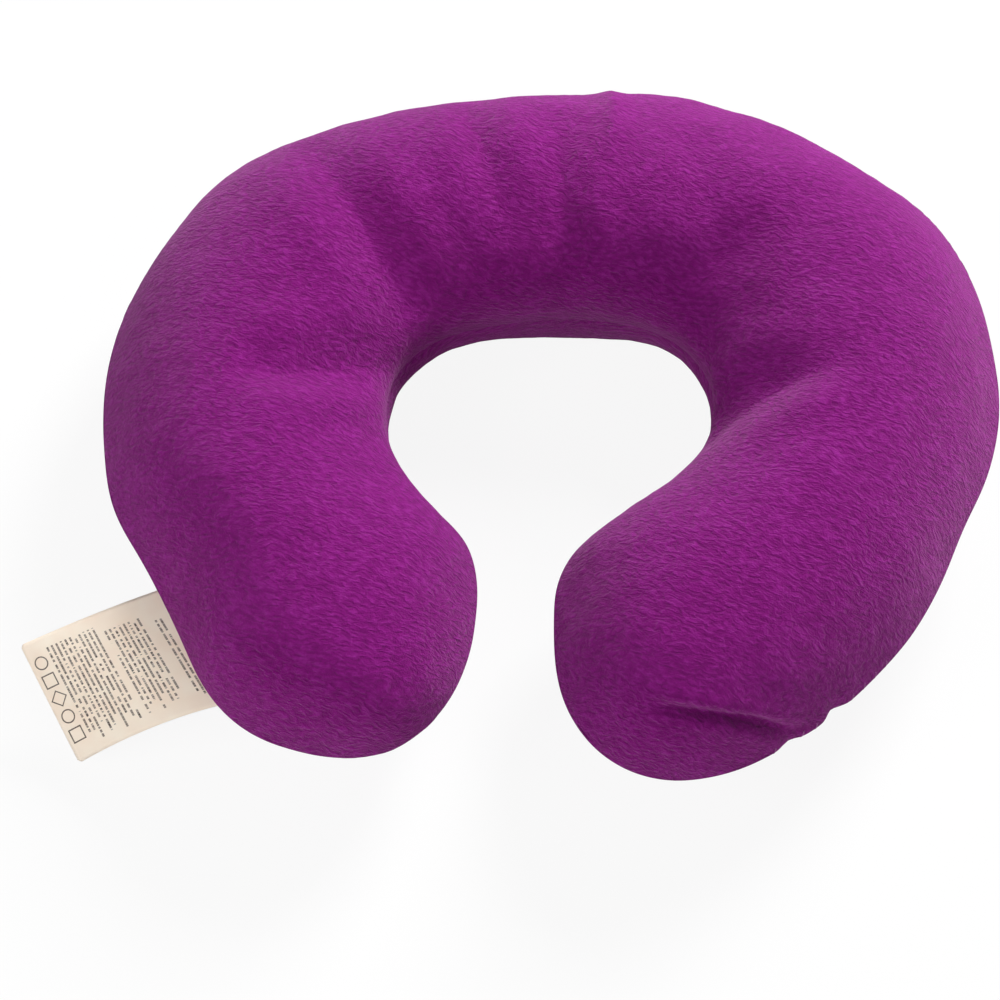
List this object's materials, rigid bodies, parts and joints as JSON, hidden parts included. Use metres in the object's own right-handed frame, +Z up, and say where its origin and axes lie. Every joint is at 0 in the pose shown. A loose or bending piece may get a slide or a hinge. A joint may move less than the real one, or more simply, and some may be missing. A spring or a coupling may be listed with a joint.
{
  "type": "u shaped neck pillow",
  "caption": "U-shaped travel neck pillow: a stuffed plush ring with an open mouth, two arms that flex apart, and a sewn-in care label.",
  "frame": {"origin": "middle of the neck opening, on the plane the pillow rests on", "axes": "+Z up from the resting plane, +Y to the back of the neck, -Y out through the mouth between the arms, +X to the right arm"},
  "size_m": [0.3526, 0.2931, 0.084],
  "materials": {
    "plush_knit": "short pile plush",
    "fibre_fill": "loose fibre",
    "sewing_thread": "spun thread",
    "satin_label": "satin"
  },
  "bodies": {
    "neck": {"neck_fill": "fibre_fill", "upper_panel": "plush_knit", "lower_panel": "plush_knit", "seam_needle_thread": "sewing_thread", "seam_bobbin_thread": "sewing_thread"},
    "left_arm": {"left_arm_fill": "fibre_fill"},
    "right_arm": {"right_arm_fill": "fibre_fill", "closing_stitches": "sewing_thread"},
    "label": {"care_label": "satin_label"}
  },
  "joints": [
    {"name": "left_arm_flex", "type": "hinge", "parent": "neck", "child": "left_arm", "pos_m": [-0.171, 0.02, 0.038], "axis": [0, 0, -1], "range_deg": [0, 20], "stiffness_Nm_per_rad": 2, "deforming": ["upper_panel", "lower_panel", "seam_needle_thread", "seam_bobbin_thread"]},
    {"name": "right_arm_flex", "type": "hinge", "parent": "neck", "child": "right_arm", "pos_m": [0.171, 0.02, 0.038], "axis": [0, 0, 1], "range_deg": [0, 20], "stiffness_Nm_per_rad": 2, "deforming": ["upper_panel", "lower_panel", "seam_needle_thread", "seam_bobbin_thread"]},
    {"name": "label_flap", "type": "hinge", "parent": "left_arm", "child": "label", "pos_m": [-0.1174, -0.0971, 0.038], "axis": [-0.6361, 0.7716, 0], "range_deg": [-50, 115], "stiffness_Nm_per_rad": 0.002}
  ]
}
